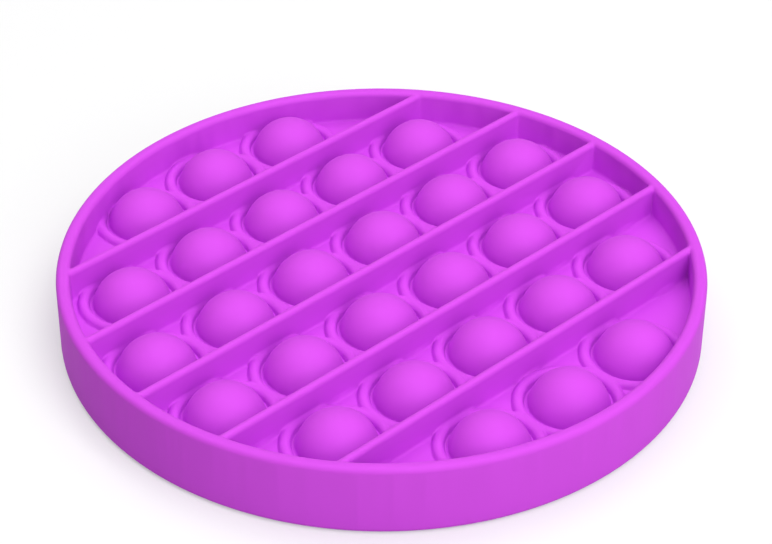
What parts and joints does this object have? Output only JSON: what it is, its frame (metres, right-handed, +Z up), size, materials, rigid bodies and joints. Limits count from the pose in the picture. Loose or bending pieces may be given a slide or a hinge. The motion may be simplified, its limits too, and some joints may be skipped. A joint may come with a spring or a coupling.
{
  "type": "bubble pop fidget toy",
  "caption": "Round flat silicone fidget toy: a low rim, a thin web half way up it, straight dividers, and rows of hollow domes with ring beads.",
  "frame": {"origin": "middle of the flat face that the toy lies on, under the middle of the rim", "axes": "+Z up, towards the side on which the domes stand up; +X along the dividers; +Y across them"},
  "size_m": [0.125, 0.125, 0.0146],
  "materials": {
    "silicone": "matte moulded silicone"
  },
  "bodies": {
    "root": {"bubble_sheet": "silicone"}
  },
  "joints": []
}
